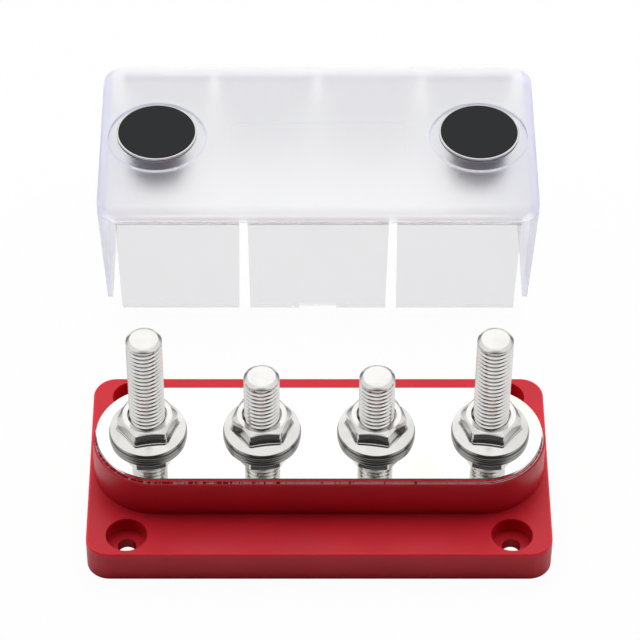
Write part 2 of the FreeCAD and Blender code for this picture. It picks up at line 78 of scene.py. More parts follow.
# Edges sharper than this stay sharp, and points closer than these distances are one.
SHARP = math.radians(25)
SAME, SAME_ON_THREAD = 1e-7, 2e-6

# The thread's profile, in shares of a turn: the crest's flat, then the flank to the root.
CREST_LAND, FLANK = 0.12, 0.36

# Painted shade: how much darker the steel's colour is made in the roots of threads, and on the
# sides of rims.
ROOT_SHADE, SIDE_SHADE = 0.6, 0.84

# The softbox overhead, and the point that it faces.
LAMP_PLACE, LAMP_AIM = Vector((0, 0.58, 1.0)), Vector((0, 0.05, 0.02))
LAMP_WIDTH, LAMP_DEPTH = 2.0, 1.3

# How far the camera sees.
CAMERA_REACH = 20.0

# The floor's half width, and how far it lies below the base, so that the two don't touch.
FLOOR_HALF, FLOOR_DROP = 3.0, 0.05 * MM

# The room's brightness along a direction: from, to, and the levels at both.
ROOM_LOW = (0.12, 0.50, 0.25, 1.0)
ROOM_OVERHEAD = (0.80, 0.96, 1.0, 0.88)
ROOM_SIDES = (0.20, 0.60, 1.0, 0.75)

# Where the room turns dark towards the camera, and how far that moves for reflections.
FRONT_DARK, FRONT_PALE, FRONT_SHIFT = -0.30, 0.02, 0.28


def corners(node):
    """A node's lowest and highest corners, as vectors."""
    low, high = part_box(node)
    return Vector(low), Vector(high)


def middle(node):
    """The middle of a node."""
    low, high = corners(node)
    return (low + high) / 2


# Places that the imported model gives
BASE_HIGH = corners("base")[1]
BAR_LOW, BAR_HIGH = corners("bus_bar")
COVER_HIGH = corners("cover")[1]
KNOB_TOP = corners("knob_left")[1].z
KNOB_AXIS = middle("knob_right")
STUD_ROW = middle("short_bolt_2").y
STUD_SPACING = middle("short_bolt_3").x - middle("short_bolt_2").x
LONG_TOP = corners("long_bolt_1")[1].z
SHORT_TOP = corners("short_bolt_2")[1].z
RIM_RADIUS = min(corners(node)[1].x - middle(node).x for node in ("washer_1", "nut_1"))
RIM_TOP = corners("nut_1")[0].z + RIM_HEIGHT


# Node maths, for shaders and for geometry


class Term:
    """An output socket that can stand in a sum, so that node maths reads as arithmetic."""

    def __init__(self, tree, socket):
        self.tree = tree
        self.socket = socket

    def maths(self, operation, *others):
        """This term, combined with others by a Math node."""
        node = self.tree.nodes.new("ShaderNodeMath")
        node.operation = operation
        for place, value in enumerate((self, *others)):
            plug(self.tree, node.inputs[place], value)
        return Term(self.tree, node.outputs[0])

    def _after(self, operation, first):
        """A value, combined with this term by a Math node."""
        node = self.tree.nodes.new("ShaderNodeMath")
        node.operation = operation
        node.inputs[0].default_value = first
        plug(self.tree, node.inputs[1], self)
        return Term(self.tree, node.outputs[0])

    def __add__(self, other):
        return self.maths("ADD", other)

    def __radd__(self, other):
        return self._after("ADD", other)

    def __sub__(self, other):
        return self.maths("SUBTRACT", other)

    def __rsub__(self, other):
        return self._after("SUBTRACT", other)

    def __mul__(self, other):
        return self.maths("MULTIPLY", other)

    def __rmul__(self, other):
        return self._after("MULTIPLY", other)

    def __truediv__(self, other):
        return self.maths("DIVIDE", other)

    def __rtruediv__(self, other):
        return self._after("DIVIDE", other)

    def __gt__(self, other):
        return self.maths("GREATER_THAN", other)

    def __lt__(self, other):
        return self.maths("LESS_THAN", other)


def plug(tree, socket, value):
    """Links a term to a socket, or sets the socket's own value."""
    if isinstance(value, Term):
        tree.links.new(value.socket, socket)
    else:
        socket.default_value = value


def distance(x, y):
    """The distance that two parts make."""
    return (x * x + y * y).maths("SQRT")


class Nodes:
    """A node tree with one method that makes any node."""

    def __init__(self, tree):
        self.tree = tree

    def add(self, kind, sockets=None, output=0, **settings):
        """A node of a type, with its settings made first, then its sockets set or linked."""
        node = self.tree.nodes.new(kind)
        for name, value in settings.items():
            setattr(node, name, value)
        for name, value in (sockets or {}).items():
            plug(self.tree, node.inputs[name], value)
        return Term(self.tree, node.outputs[output]) if node.outputs else node

    def parts(self, vector):
        """The three parts of a vector."""
        node = self.tree.nodes.new("ShaderNodeSeparateXYZ")
        plug(self.tree, node.inputs[0], vector)
        return [Term(self.tree, out) for out in node.outputs]

    def between(self, value, low, high, to_low=0.0, to_high=1.0):
        """A value eased from one range to another."""
        return self.add("ShaderNodeMapRange", {
            "Value": value, "From Min": low, "From Max": high,
            "To Min": to_low, "To Max": to_high,
        }, "Result", interpolation_type="SMOOTHSTEP")

    def noise(self, where, scale, detail=2.0, roughness=0.5):
        """Noise at a scale, in cells to the metre."""
        return self.add("ShaderNodeTexNoise", {
            "Vector": where, "Scale": scale, "Detail": detail, "Roughness": roughness,
        }, "Fac")

    def stretched(self, where, turn, scale):
        """Coordinates turned about the vertical and scaled, for brushed marks."""
        return self.add("ShaderNodeMapping", {
            "Vector": where, "Rotation": (0, 0, math.radians(turn)), "Scale": scale,
        }, "Vector")

    def blend(self, share, first, second):
        """Two colours mixed by a share."""
        node = self.tree.nodes.new("ShaderNodeMix")
        node.data_type = "RGBA"
        plug(self.tree, node.inputs["Factor"], share)
        plug(self.tree, node.inputs["A"], first)
        plug(self.tree, node.inputs["B"], second)
        return Term(self.tree, node.outputs["Result"])

    def bump(self, height, strength, distance):
        """A bumped normal."""
        return self.add("ShaderNodeBump", {
            "Height": height, "Strength": strength, "Distance": distance,
        }, "Normal")


def new_finish(name):
    """An empty material and its nodes, with the place on the surface."""
    material = bpy.data.materials.new(f"{name}_finish")
    material.use_nodes = True
    material.node_tree.nodes.clear()
    nodes = Nodes(material.node_tree)
    where = nodes.add("ShaderNodeTexCoord", output="Object")
    return material, nodes, where


def finish_with(nodes, sockets):
    """Ends a material in a Principled shader with these sockets."""
    surface = nodes.add("ShaderNodeBsdfPrincipled", sockets)
    nodes.add("ShaderNodeOutputMaterial", {"Surface": surface})


def opaque(colour):
    """A colour with its alpha."""
    return (*colour, 1.0)


def scaled(colour, share):
    """A colour made darker or lighter."""
    return tuple(min(1.0, part * share) for part in colour)


# Finishes


def red_moulding(look):
    """Satin red moulded plastic, with a fine grain, a painted highlight on the plate's rounded
    edge and a painted glint on the island's rim.
    """
    material, nodes, where = new_finish("red_moulding")
    grain = nodes.noise(where, 2600, 3.0, 0.6)
    cloud = nodes.noise(where, 45, 2.0)
    red = nodes.blend(
        nodes.between(cloud, 0.35, 0.65),
        opaque(scaled(look.red, 0.96)), opaque(scaled(look.red, 1.04)))
    x, y, z = nodes.parts(where)

    # Painted highlight: the plate's rounded edge is given a brighter red.
    under = PLATE_TOP - z
    edge = nodes.between(under, 0.8 * MM, 0.5 * MM) * (under > 0.02 * MM)
    red = nodes.blend(edge, red, opaque(scaled(look.red, 1.5)))

    # Painted highlight: a pale glint lies on the island's rim, close round the bar: dashes at the
    # left, then whole.
    half_width = (BAR_HIGH.y - BAR_LOW.y) / 2
    beyond = (x.maths("ABSOLUTE") - (BAR_HIGH.x - half_width)).maths("MAXIMUM", 0)
    from_bar = distance(beyond, y - (BAR_HIGH.y + BAR_LOW.y) / 2) - half_width
    rim = (z > BASE_HIGH.z - 0.1 * MM) * (from_bar < 0.36 * MM)
    dashes = nodes.noise(nodes.stretched(where, 0, (1100, 700, 250)), 1.0, 3.0, 0.7)
    whole = nodes.between(x, -45 * MM, 15 * MM, 0.0, 0.16)
    glint = nodes.between(dashes + whole, 0.51, 0.58) * rim
    finish_with(nodes, {
        "Base Color": nodes.blend(glint, red, opaque(look.glint)),
        "Roughness": 0.27 + grain * 0.12,
        "Specular IOR Level": 0.27,
        "Normal": nodes.bump(grain, 0.12, 0.05 * MM),
    })
    return material


def nickel_plate(look):
    """Bright nickel plate, faintly brushed on the slant, and warmer in clouds towards the right.
    """
    material, nodes, where = new_finish("nickel_plate")
    brushed = nodes.noise(nodes.stretched(where, 32, (90, 4200, 90)), 1.0, 3.0, 0.6)
    cloud = nodes.noise(where, 60, 2.0)
    x, _, _ = nodes.parts(where)
    # A warmer tone in clouds, growing towards the right.
    warm_share = nodes.between(cloud, 0.4, 0.62) * nodes.between(x, 0.0, 30 * MM, 0.3, 1.0)
    colour = nodes.blend(warm_share, opaque(look.nickel), opaque(look.warm))
    finish_with(nodes, {
        "Base Color": colour,
        "Metallic": 1.0,
        "Roughness": 0.03 + brushed * 0.05,
        "Normal": nodes.bump(brushed, 0.04, 0.02 * MM),
    })
    return material


def shaded_steel(nodes, where):
    """How much painted shade darkens the steel: in the studs' threads, and on washers' and
    flanges' sides.
    """
    x, y, z = nodes.parts(where)

    # The studs stand at half spacings, so the nearest one's axis follows from x alone.
    aside = ((x / STUD_SPACING).maths("FRACT") - 0.5) * STUD_SPACING
    from_axis = distance(aside, y - STUD_ROW)
    outer = x.maths("ABSOLUTE") > STUD_SPACING
    top = outer * (LONG_TOP - SHORT_TOP) + (SHORT_TOP - TIP_HEIGHT)
    root = nodes.between(from_axis, STUD_RADIUS - 0.1 * MM, STUD_RADIUS - 0.8 * MM) * (z < top)
    side = nodes.between(from_axis, RIM_RADIUS - 0.12 * MM, RIM_RADIUS - 0.04 * MM)
    side = side * (z < RIM_TOP - 0.08 * MM)
    return (root * ROOT_SHADE).maths("MAXIMUM", side * SIDE_SHADE) * (z > BAR_HIGH.z)


def stainless_steel(look):
    """Bright stainless steel, with faint handling marks, and painted shade in its threads and on
    its rims.
    """
    material, nodes, where = new_finish("stainless_steel")
    marks = nodes.noise(where, 2200, 3.0, 0.6)
    cloud = nodes.noise(where, 180, 2.0)
    colour = nodes.blend(
        nodes.between(cloud, 0.35, 0.65),
        opaque(scaled(look.steel, 0.96)), opaque(scaled(look.steel, 1.03)))
    # Painted shade: the colour turns dark steel in the thread roots and on the rims' sides.
    colour = nodes.blend(
        shaded_steel(nodes, where), colour, opaque(scaled(look.steel, 0.3)))
    finish_with(nodes, {
        "Base Color": colour,
        "Metallic": 1.0,
        "Roughness": 0.085 + marks * 0.06,
        "Normal": nodes.bump(marks, 0.08, 0.03 * MM),
    })
    return material


def clear_moulding(look):
    """Clear moulded plastic: polished walls, cool thick ends and a finely frosted lid."""
    material, nodes, where = new_finish("clear_moulding")
    x, y, z = nodes.parts(where)

    # Where the surface lies: on the lid, its upper face, the groove under it, the lower
    # edge, the thick ends, or the rim of a knob's recess.
    across, down = x.maths("ABSOLUTE"), COVER_HIGH.z - z
    lid = nodes.between(down, 4.2 * MM, 3.4 * MM)
    face = nodes.between(down, 1.6 * MM, 1.0 * MM)
    groove = nodes.between(down, 5.3 * MM, 5.1 * MM) * nodes.between(down, 4.3 * MM, 4.5 * MM)
    foot = nodes.between(z, 0.5 * MM, 0.2 * MM)
    end = nodes.between(across, COVER_HIGH.x - 3.4 * MM, COVER_HIGH.x - 2.4 * MM)
    from_well = distance(across - KNOB_AXIS.x, y - KNOB_AXIS.y) - WELL_RADIUS
    ring = face * nodes.between(from_well.maths("ABSOLUTE"), 0.7 * MM, 0.25 * MM)

    grain = nodes.noise(where, 3200, 2.0, 0.6)
    wave = nodes.noise(where, 60, 2.0)
    wall = nodes.blend(
        nodes.between(wave, 0.35, 0.65),
        opaque(look.clear), opaque(scaled(look.clear, 0.99)))
    wall = nodes.blend(end, wall, opaque(look.thick))
    cool = end.maths("MAXIMUM", ring)
    top = nodes.blend(cool, opaque(look.frosted), opaque(look.edge))
    clear = nodes.add("ShaderNodeBsdfPrincipled", {
        "Base Color": nodes.blend(lid, wall, top),
        "Transmission Weight": 1.0,
        "IOR": 1.2,
        "Roughness": 0.02 + lid * (0.58 + grain * 0.1) + foot * 0.4,
        "Alpha": 0.65 + lid * 0.35,
    })
    bloom = nodes.blend(grain, opaque(look.milky), opaque(scaled(look.milky, 0.97)))
    milky = nodes.add("ShaderNodeBsdfPrincipled", {
        "Base Color": nodes.blend(cool, bloom, opaque(look.edge)),
        "Roughness": 0.45,
        "Specular IOR Level": 0.3,
    })
    haze = face * 0.08 + ring * 0.35 + groove * 0.85
    surface = nodes.add("ShaderNodeMixShader", {0: haze, 1: clear, 2: milky})
    nodes.add("ShaderNodeOutputMaterial", {"Surface": surface})
    return material


def knob_metal(look):
    """Dark turned metal with fine rings from the tool, smoother on the lip round the cap, which
    has a painted highlight in bright steel colour.
    """
    material, nodes, where = new_finish("knob_metal")
    _, _, z = nodes.parts(where)
    rings = nodes.noise(nodes.stretched(where, 0, (60, 60, 5200)), 1.0, 2.0)
    # Painted highlight: the lip round the cap takes the bright steel colour, and a lower
    # roughness.
    lip = nodes.between(z, KNOB_TOP - 0.5 * MM, KNOB_TOP - 0.3 * MM)
    body = nodes.blend(
        nodes.between(rings, 0.35, 0.65),
        opaque(look.knob), opaque(scaled(look.knob, 1.2)))
    finish_with(nodes, {
        "Base Color": nodes.blend(lip, body, opaque(look.steel)),
        "Metallic": 1.0,
        "Roughness": 0.24 + rings * 0.15 - lip * 0.12,
        "Normal": nodes.bump(rings, 0.08, 0.03 * MM),
    })
    return material


def black_cap(look):
    """Satin black plastic with a fine grain."""
    material, nodes, where = new_finish("black_cap")
    grain = nodes.noise(where, 2400, 3.0, 0.6)
    colour = nodes.blend(
        nodes.between(grain, 0.3, 0.7),
        opaque(scaled(look.black, 0.9)), opaque(scaled(look.black, 1.1)))
    finish_with(nodes, {
        "Base Color": colour,
        "Roughness": 0.5 + grain * 0.1,
        "Specular IOR Level": 0.25,
        "Normal": nodes.bump(grain, 0.15, 0.04 * MM),
    })
    return material


FINISHES = {
    "red_moulding": red_moulding,
    "nickel_plate": nickel_plate,
    "stainless_steel": stainless_steel,
    "clear_moulding": clear_moulding,
    "knob_metal": knob_metal,
    "black_cap": black_cap,
}


def finish(name):
    """A finish by the name of its slot, made once."""
    made = bpy.data.materials.get(f"{name}_finish")
    return made or FINISHES[name](bpy.context.scene.bus_bar_colours)


def dress(node, name):
    """Gives a CAD node its finish."""
    slots = NODES[node].data.materials
    slots.clear()
    slots.append(finish(name))


# Turned and hexagonal forms


def rounded(outline):
    """A profile through corners, each given as a radius, a height and a rounding."""
    points = [Vector(corner[:2]) for corner in outline]
    line = []
    for here, point in enumerate(points):
        soft = outline[here][2]
        if not soft:
            line.append(point)
            continue
        back = (points[here - 1] - point).normalized()
        ahead = (points[(here + 1) % len(points)] - point).normalized()
        half = back.angle(ahead) / 2
        run = soft / math.tan(half)
        centre = point + (back + ahead).normalized() * (soft / math.sin(half))
        first, last = point + back * run - centre, point + ahead * run - centre
        for step in range(BEND_STEPS + 1):
            spoke = first.lerp(last, step / BEND_STEPS)
            line.append(centre + spoke.normalized() * soft)
    return line


def turned(profile):
    """Rings of points from a profile, which may change with the angle round its axis."""
    columns = [rounded(profile(angle)) for angle in ANGLES]
    rings = zip(*columns)
    return [
        [Vector((point.x * math.cos(angle), point.x * math.sin(angle), point.y))
         for angle, point in zip(ANGLES, ring)]
        for ring in rings]


def hexagon_reach(angle, across, corner):
    """How far a hexagon's side lies from its axis at an angle, with its corners turned down."""
    off = angle % (math.pi / 3) - math.pi / 6
    return min(across / 2 / math.cos(off), corner)


def skin(rings, loop=False):
    """A closed mesh through rings of points. A loop joins its last ring to its first."""
    form = bmesh.new()
    rows = [[form.verts.new(point) for point in ring] for ring in rings]
    following = rows[1:] + rows[:1] if loop else rows[1:]
    for low, high in zip(rows, following):
        for here in range(AROUND):
            after = (here + 1) % AROUND
            form.faces.new((low[here], low[after], high[after], high[here]))
    bmesh.ops.remove_doubles(form, verts=form.verts, dist=SAME)
    bmesh.ops.dissolve_degenerate(form, edges=form.edges, dist=SAME)
    bmesh.ops.recalc_face_normals(form, faces=form.faces)
    return form


def lathe(outline, loop=False):
    """A form with one profile all the way round."""
    return skin(turned(lambda angle: outline), loop)


def add_form(form, other):
    """Adds another form to a form."""
    mesh = bpy.data.meshes.new("part")
    other.to_mesh(mesh)
    other.free()
    form.from_mesh(mesh)


def place_form(form, node, turn=0.0):
    """Stands a form on a node's axis, turned about the vertical."""
    axis = middle(node)
    bmesh.ops.rotate(
        form, verts=form.verts, cent=(0, 0, 0), matrix=Matrix.Rotation(turn, 3, "Z"))
    bmesh.ops.translate(form, verts=form.verts, vec=(axis.x, axis.y, 0))


def new_piece(name, form, slot, body, node):
    """Turns a form into a piece that rides on a body and stands for a CAD node."""
    mesh = bpy.data.meshes.new(name)
    form.to_mesh(mesh)
    form.free()
    for face in mesh.polygons:
        face.use_smooth = True
    mesh.set_sharp_from_angle(angle=SHARP)
    mesh.materials.append(finish(slot))
    piece = bpy.data.objects.new(name, mesh)
    bpy.context.scene.collection.objects.link(piece)
    flatten = piece.modifiers.new("Flat faces stay flat", "WEIGHTED_NORMAL")
    flatten.keep_sharp = True
    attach(piece, body)
    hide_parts(node)


# Sizes and colours that a user may change


def length(name, description, millimetres):
    """A length property."""
    return FloatProperty(
        name=name, description=description, default=millimetres * MM, unit="LENGTH",
        precision=5)


def colour(name, description, default):
    """A colour property."""
    return FloatVectorProperty(
        name=name, description=description, default=default, subtype="COLOR",
        min=0.0, max=1.0)


class StudSizes(bpy.types.PropertyGroup):
    """Sizes of the bolts and their threads"""
    pitch: length("Thread pitch", "Rise of the thread in one turn", 1.5)
    depth: length("Thread depth", "From the crest of the thread to its root", 0.9)
    flat: length("Tip's flat", "Radius at which the tip turns down from its flat end", 3.9)
    fall: length("Tip's fall", "Drop of the tip's bevel", 0.75)
    soft: length("Tip's rounding", "Rounding from the flat to the bevel", 0.9)
    brow: length("Tip's brow", "Rounding from the bevel to the thread", 0.3)
    head: length("Bolt head", "Bolt head across its flats", 16.0)
    head_corner: length("Head corner", "Radius to which the head's corners are turned", 9.2)
    head_edge: length("Head edge", "Rounding of the head's edges", 0.25)
    steps: IntProperty(name="Steps", description="Faces round a thread", default=72, min=24)


class NutSizes(bpy.types.PropertyGroup):
    """Sizes of the flange nuts"""
    across: length("Nut", "Nut across its flats", 15.0)
    corner: length("Nut corner", "Radius to which the corners are turned", 8.5)
    flat: length("Nut top", "Radius of the flat top inside the turned crown", 6.95)
    rim: length("Flange rim", "Height of the flange's rim", RIM_HEIGHT / MM)
    slope: length("Flange slope", "Rise of the flange from its rim to the crown radius", 0.7)
    crown: length("Flange crown", "Radius at which that rise ends", 8.4)
    blend: length("Blend", "Fillet between the hexagon and the flange", 0.9)
    edge: length("Edge", "Rounding of the nut's edges", 0.14)
    sink: length("Countersink", "How far the countersink opens beyond the bore", 0.55)
    turn: FloatProperty(
        name="Turn", description="Turn of the nuts off square", default=math.radians(8),
        subtype="ANGLE")


class KnobSizes(bpy.types.PropertyGroup):
    """Sizes of the knobs"""
    lip: length("Lip", "Lip round the cap", 0.4)
    cap: length("Cap", "Depth of the cap's seat", 0.8)
    edge: length("Edge", "Rounding of the head's edge", 0.3)
    head_height: length("Head", "Height of the head", 1.4)
    bearing: length("Bearing", "From the top of the knob to the face on the lid", 3.25)
    shoulder: length("Shoulder", "Radius of the shoulder on the lid", 9.5)
    shank: length("Shank", "Radius of the shank", 8.3)
    foot: length("Foot", "Rounding of the shank's foot", 0.8)
    bore_depth: length("Bore", "Depth of the threaded bore", 13.0)


class Colours(bpy.types.PropertyGroup):
    """Colours of the finishes"""
    red: colour("Base", "Red of the moulded base", (0.60, 0.0155, 0.030))
    # Painted highlight: the pale glint along the island's rim.
    glint: colour("Glint", "Pale flash along the island's rim", (0.95, 0.72, 0.74))
    nickel: colour("Bar", "Nickel plate", (0.95, 0.94, 0.92))
    # A warmer tone of the plate, used in clouds towards the right of the bar.
    warm: colour("Bar, handled", "Nickel plate where it is handled", (0.90, 0.875, 0.82))
    steel: colour("Steel", "Studs, nuts and washers", (0.82, 0.805, 0.785))
    clear: colour("Cover", "Tint of the clear cover", (0.70, 0.70, 0.715))
    thick: colour("Cover's ends", "Tint of the cover's thick ends", (0.62, 0.62, 0.76))
    frosted: colour("Lid", "Tint of the frosted lid", (0.93, 0.93, 0.95))
    edge: colour("Lid's ends", "Tint of the lid over the thick ends", (0.83, 0.83, 0.94))
    milky: colour("Bloom", "Milky bloom of the frosted lid", (0.92, 0.92, 0.94))
    knob: colour("Knob", "Turned metal of the knobs", (0.17, 0.17, 0.185))
    black: colour("Cap", "Caps in the knobs", (0.008, 0.0095, 0.012))


class Studio(bpy.types.PropertyGroup):
    """The camera, the lamp and the pale room"""
    camera: FloatVectorProperty(
        name="Camera", description="Place of the camera", subtype="TRANSLATION",
        unit="LENGTH", default=(-0.00565, -0.61857, 0.72178))
    elevation: FloatProperty(
        name="Elevation", description="Angle of the camera above the horizon",
        default=math.radians(46.5), subtype="ANGLE")
    lens: FloatProperty(
        name="Lens", description="Focal length of the camera in millimetres", default=186.65)
    shift: FloatProperty(name="Shift", description="Sideways shift of the lens", default=0.0329)
    key: FloatProperty(
        name="Overhead lamp", description="Power of the softbox overhead, in watts", default=11.6)
    paper: FloatProperty(
        name="Clean floor", description="How much of the floor is plain white to the camera",
        default=0.96, subtype="FACTOR", min=0.0, max=1.0)
    room: FloatProperty(
        name="Room", description="Brightness of the pale studio round the object", default=1.15)
    dark: FloatProperty(
        name="Camera side", description="Brightness of the studio on the camera's side",
        default=0.01)
    gleam: FloatProperty(
        name="Camera side in gloss", description="How much brighter that side is in reflections",
        default=0.05)


# The thread, as a node tree


def thread_tree():
    """A helical thread on a stud, its rows sheared along the helix and levelled at its ends."""
    tree = bpy.data.node_groups.new("Stud thread", "GeometryNodeTree")
    for name, kind in (
            ("Crest radius", "Float"), ("Depth", "Float"), ("Pitch", "Float"),
            ("Foot", "Float"), ("Top", "Float"), ("Rows", "Int"),
            ("Steps", "Int"), ("Axis", "Vector"), ("Finish", "Material")):
        tree.interface.new_socket(name, in_out="INPUT", socket_type=f"NodeSocket{kind}")
    tree.interface.new_socket("Mesh", in_out="OUTPUT", socket_type="NodeSocketGeometry")
    nodes = Nodes(tree)
    given = tree.nodes.new("NodeGroupInput")
    size = {out.name: Term(tree, out) for out in given.outputs if out.name}

    sheet = nodes.add("GeometryNodeMeshGrid", {
        "Size X": 1.0, "Size Y": 1.0, "Vertices X": size["Steps"] + 1, "Vertices Y": size["Rows"],
    }, "Mesh")
    across, along, _ = nodes.parts(nodes.add("GeometryNodeInputPosition"))
    turn = (across + 0.5) * math.tau
    last = size["Rows"] - 1
    row = ((along + 0.5) * last).maths("ROUND")

    # Four rows to a turn of thread: both edges of the crest, then both edges of the root.
    step = (row - 1).maths("FLOORED_MODULO", 4)
    into_turn = (
        step.maths("MINIMUM", 1) * CREST_LAND
        + (step - 1).maths("MAXIMUM", 0).maths("MINIMUM", 1) * FLANK
        + (step - 2).maths("MAXIMUM", 0) * CREST_LAND)
    turns_up = ((row - 1) / 4).maths("FLOOR") + into_turn
    height = size["Foot"] + size["Pitch"] * (turns_up + turn / math.tau - 1)
    height = height.maths("MAXIMUM", size["Foot"]).maths("MINIMUM", size["Top"])
    radius = size["Crest radius"] - size["Depth"] * (step > 1.5)

    # The first and the last row close the ends on the axis.
    first_row, last_row = row < 0.5, row > last - 0.5
    radius = radius * (1 - first_row) * (1 - last_row)
    height = height * (1 - first_row) * (1 - last_row)
    height = height + size["Foot"] * first_row + size["Top"] * last_row

    point = nodes.add("ShaderNodeCombineXYZ", {
        "X": radius * turn.maths("COSINE"), "Y": radius * turn.maths("SINE"), "Z": height})
    point = nodes.add("ShaderNodeVectorMath", {0: point, 1: size["Axis"]}, operation="ADD")
    form = nodes.add("GeometryNodeSetPosition", {"Geometry": sheet, "Position": point})
    form = nodes.add("GeometryNodeMergeByDistance", {"Geometry": form, "Distance": SAME_ON_THREAD})
    form = nodes.add("GeometryNodeRealizeInstances", {"Geometry": form})
    form = nodes.add("GeometryNodeSetMaterial", {"Geometry": form, "Material": size["Finish"]})
    result = tree.nodes.new("NodeGroupOutput")
    tree.links.new(form.socket, result.inputs["Mesh"])
    return tree


def grown(tree, values):
    """The plain mesh that a geometry tree makes from its named inputs."""
    holder = bpy.data.objects.new("holder", bpy.data.meshes.new("holder"))
    bpy.context.scene.collection.objects.link(holder)
    modifier = holder.modifiers.new("Rule", "NODES")
    modifier.node_group = tree
    for item in tree.interface.items_tree:
        if item.in_out == "INPUT":
            modifier[item.identifier] = values[item.name]
    depsgraph = bpy.context.evaluated_depsgraph_get()
    mesh = bpy.data.meshes.new_from_object(holder.evaluated_get(depsgraph))
    holder.modifiers.remove(modifier)
    bpy.data.objects.remove(holder)
    return mesh


def bolt_head(sizes, low, seat):
    """The hexagon head in the base's underside, with its crown turned below."""
    flat = sizes.head * CROWN_SHARE

    def profile(angle):
        reach = hexagon_reach(angle, sizes.head, sizes.head_corner)
        return [
            (0, low, 0), (flat, low, 0),
            (reach, low + (reach - flat) * CROWN_SLOPE, sizes.head_edge),
            (reach, seat, sizes.head_edge), (0, seat, 0)]

    return skin(turned(profile))


def stud_tip(sizes, foot, top):
    """The rounded tip above the thread, with a flat end."""
    outline = [
        (0, foot, 0), (STUD_RADIUS, foot, 0), (STUD_RADIUS, top - sizes.fall, sizes.brow),
        (sizes.flat, top, sizes.soft), (0, top, 0)]
    return lathe(outline)


# One operator for each piece or group of like pieces


class BUSBAR_OT_base(bpy.types.Operator):
    """Finish the moulded base in satin red"""
    bl_idname = "bus_bar.base"
    bl_label = "Moulded base"

    def execute(self, context):
        dress("base", "red_moulding")
        return {"FINISHED"}


class BUSBAR_OT_bar(bpy.types.Operator):
    """Finish the bar in bright nickel plate"""
    bl_idname = "bus_bar.bar"
    bl_label = "Plated bar"

    def execute(self, context):
        dress("bus_bar", "nickel_plate")
        return {"FINISHED"}


class BUSBAR_OT_studs(bpy.types.Operator):
    """Make the four bolts, with their heads and their threads"""
    bl_idname = "bus_bar.studs"
    bl_label = "Threaded studs"

    def execute(self, context):
        sizes = context.scene.bus_bar_studs
        tree = thread_tree()
        for node in BOLTS:
            low, high = corners(node)
            axis = middle(node)
            seat = low.z + HEAD_HEIGHT
            top = high.z - TIP_HEIGHT
            turns = math.ceil((top - seat) / sizes.pitch) + 1
            mesh = grown(tree, {
                "Crest radius": STUD_RADIUS, "Depth": sizes.depth, "Pitch": sizes.pitch,
                "Foot": seat, "Top": top, "Rows": 4 * turns + 2, "Steps": sizes.steps,
                "Axis": (axis.x, axis.y, 0.0), "Finish": finish("stainless_steel"),
            })
            form = bolt_head(sizes, low.z, seat)
            add_form(form, stud_tip(sizes, top, high.z))
            place_form(form, node)
            form.from_mesh(mesh)
            bmesh.ops.recalc_face_normals(form, faces=form.faces)
            new_piece(f"{node}_threaded", form, "stainless_steel", "base_assembly", node)
        return {"FINISHED"}


def washer_form(low, high, outside):
    """A flat washer with the edges of its outside rounded."""
    bore = STUD_RADIUS + WASHER_GAP
    outline = [
        (bore, low, 0), (outside, low, WASHER_EDGE), (outside, high, WASHER_EDGE),
        (bore, high, 0)]
    return lathe(outline, loop=True)


class BUSBAR_OT_washers(bpy.types.Operator):
    """Make the flat washers, with their stamped edges rounded"""
    bl_idname = "bus_bar.washers"
    bl_label = "Flat washers"

    def execute(self, context):
        for number in PLACES:
            node = f"washer_{number}"
            low, high = corners(node)
            form = washer_form(low.z, high.z, (high.x - low.x) / 2)
            place_form(form, node)
            new_piece(f"{node}_ring", form, "stainless_steel", node, node)
        return {"FINISHED"}


def nut_form(sizes, low, high, flange):
    """A flange nut: rounded rim, sloped flange, filleted hexagon, turned crown, sunk bore."""
    bore = STUD_RADIUS + NUT_GAP
    rim = low + sizes.rim
    fall = sizes.slope / (flange - sizes.crown)

    def profile(angle):
        reach = hexagon_reach(angle, sizes.across, sizes.corner)
        return [
            (bore, low, 0), (flange, low, sizes.edge), (flange, rim, sizes.edge),
            (reach, rim + (flange - reach) * fall, sizes.blend),
            (reach, high - (reach - sizes.flat) * CROWN_SLOPE, sizes.edge),
            (sizes.flat, high, 0), (bore + sizes.sink, high, 0), (bore, high - sizes.sink, 0)]

    return skin(turned(profile), loop=True)


class BUSBAR_OT_nuts(bpy.types.Operator):
    """Make the four flange nuts"""
    bl_idname = "bus_bar.nuts"
    bl_label = "Flange nuts"

    def execute(self, context):
        sizes = context.scene.bus_bar_nuts
        for number in PLACES:
            node = f"nut_{number}"
            low, high = corners(node)
            form = nut_form(sizes, low.z, high.z, (high.x - low.x) / 2)
            place_form(form, node, sizes.turn if high.x < 0 else -sizes.turn)
            new_piece(f"{node}_flanged", form, "stainless_steel", node, node)
        return {"FINISHED"}


class BUSBAR_OT_cover(bpy.types.Operator):
    """Finish the clear cover"""
    bl_idname = "bus_bar.cover"
    bl_label = "Clear cover"

    def execute(self, context):
        dress("cover", "clear_moulding")
        return {"FINISHED"}


def knob_form(sizes, low, high, head):
    """A knob: head with a lip round its cap, shoulder on the lid, shank and blind bore."""
    bore = STUD_RADIUS + NUT_GAP
    inlay = head - sizes.lip
    under, bearing = high - sizes.head_height, high - sizes.bearing
    outline = [
        (bore, low, 0), (sizes.shank, low, sizes.foot), (sizes.shank, bearing, 0),
        (sizes.shoulder, bearing, 0), (sizes.shoulder, under, 0), (head, under, sizes.edge),
        (head, high, sizes.edge), (inlay, high, 0), (inlay, high - sizes.cap, 0),
        (0, high - sizes.cap, 0), (0, low + sizes.bore_depth, 0),
        (bore, low + sizes.bore_depth, 0)]
    return lathe(outline, loop=True)


